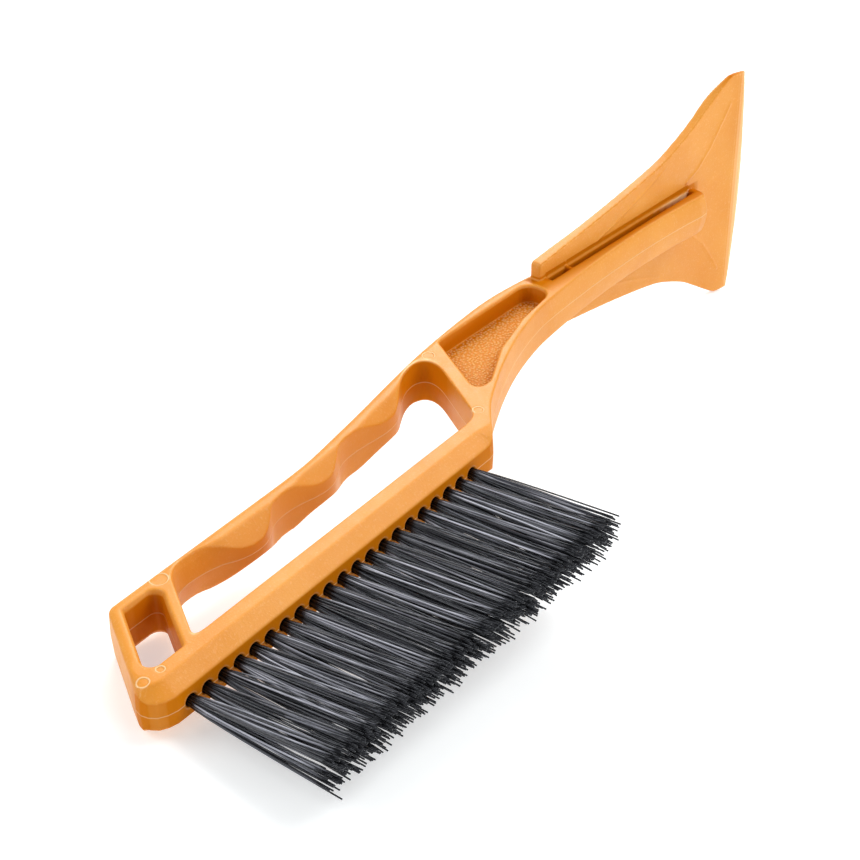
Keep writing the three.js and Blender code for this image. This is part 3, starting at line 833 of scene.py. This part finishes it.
def moulding(material):
    """The finer surface of the body, in place of the CAD's."""
    field, first = moulding_field()
    points, quads = surface_net(field, first)
    mesh = bpy.data.meshes.new("moulded_body")
    mesh.vertices.add(len(points))
    mesh.vertices.foreach_set("co", tool_to_row(points).astype(np.float32).ravel())
    mesh.loops.add(quads.size)
    mesh.loops.foreach_set("vertex_index", quads.ravel().astype(np.int32))
    mesh.polygons.add(len(quads))
    mesh.polygons.foreach_set("loop_start", np.arange(0, quads.size, 4, dtype=np.int32))
    mesh.update(calc_edges=True)
    mesh.polygons.foreach_set("use_smooth", np.ones(len(quads), bool))
    # Edge wear with painted edge highlight, and painted shade in hollows, kept for the material.
    edge_wear_and_highlight, painted_shade = wear_highlight_and_shade(field, first, points)
    store(mesh, "wear_and_edge_highlight", edge_wear_and_highlight)
    store(mesh, "painted_shade", painted_shade)
    x, y, z = points.T
    pocket = polygon_distance(rounded_polygon(NECK_POCKET, 4), x, y)
    floor_level = rise(np.abs(z), WEB_HALF + 0.7, WEB_HALF + 0.3)
    store(mesh, "pocket_floor", rise(pocket, -0.5, -1.2) * floor_level)
    piece = new_piece("moulded_body", mesh, material)
    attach(piece, "root")
    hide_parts("body")


# ---- the surroundings ------------------------------------------------------------------
# The photo's camera, found by fitting the tool's outline.
CAMERA_PLACE = (-0.4274, -0.2377, 0.3206)
CAMERA_TARGET = (-0.0181, 0.0311, 0.015)
CAMERA_ROLL = 7.26             # degrees
CAMERA_LENS = 76.6
SENSOR_WIDTH = 36.0
# Name, place, size and power of each soft light.
LIGHTS = (("overhead", (0.7, -0.35, 1.3), 1.0, 11.5),
          ("back_window", (1.4, 1.3, 1.5), 1.3, 32.0),
          ("left_window", (-0.8, 0.7, 0.8), 0.9, 7.0),
          ("front_fill", (0.0, -1.1, 0.45), 0.9, 4.8))
LIGHTS_TARGET = (0.0, 0.0, 0.02)
WORLD_STRENGTH = 0.35
FLOOR_REACH = 6.0


def camera():
    data = bpy.data.cameras.new("camera")
    data.lens = CAMERA_LENS
    data.sensor_width = SENSOR_WIDTH
    data.clip_start = 0.01
    place = bpy.data.objects.new("camera", data)
    view = Vector(CAMERA_TARGET) - Vector(CAMERA_PLACE)
    turn = view.to_track_quat("-Z", "Y").to_matrix().to_4x4()
    roll = Matrix.Rotation(math.radians(CAMERA_ROLL), 4, "Z")
    place.matrix_world = Matrix.Translation(CAMERA_PLACE) @ turn @ roll
    bpy.context.scene.collection.objects.link(place)
    bpy.context.scene.camera = place


def area_light(name, place, size, power):
    """A round soft light that points at the tool."""
    data = bpy.data.lights.new(name, "AREA")
    data.shape = "DISK"
    data.size = size
    data.energy = power
    light = bpy.data.objects.new(name, data)
    light.location = place
    light.rotation_mode = "QUATERNION"
    light.rotation_quaternion = (Vector(LIGHTS_TARGET) - Vector(place)).to_track_quat("-Z", "Y")
    bpy.context.scene.collection.objects.link(light)


def floor():
    """A white sweep that gives off some light, so that its shadows stay pale."""
    mesh = bpy.data.meshes.new("floor")
    mesh.from_pydata([(-FLOOR_REACH, -FLOOR_REACH, 0), (FLOOR_REACH, -FLOOR_REACH, 0),
                      (FLOOR_REACH, FLOOR_REACH, 0), (-FLOOR_REACH, FLOOR_REACH, 0)],
                     [], [(0, 1, 2, 3)])
    nodes = Nodes("white_sweep")
    nodes.uniform(Base_Color=(0.67, 0.70, 0.71, 1.0), Roughness=0.6,
                  Emission_Color=(1.0, 1.0, 1.0, 1.0), Emission_Strength=0.47)
    sweep = new_piece("floor", mesh, nodes.material)


def surroundings():
    camera()
    floor()
    world = bpy.data.worlds.new("studio")
    world.use_nodes = True
    background = world.node_tree.nodes["Background"].inputs
    background["Color"].default_value = (1, 1, 1, 1)
    background["Strength"].default_value = WORLD_STRENGTH
    scene = bpy.context.scene
    scene.world = world
    scene.view_settings.view_transform = "Standard"
    for light in LIGHTS:
        area_light(*light)


def staples(material):
    """The staples keep the CAD's own meshes and only get their material."""
    for name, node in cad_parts.items():
        if name.startswith("staple_"):
            node.data.materials.clear()
            node.data.materials.append(material)


# ---- putting it together ---------------------------------------------------------------
surroundings()
moulding(orange_plastic())
bristles(black_filament())
staples(staple_wire())
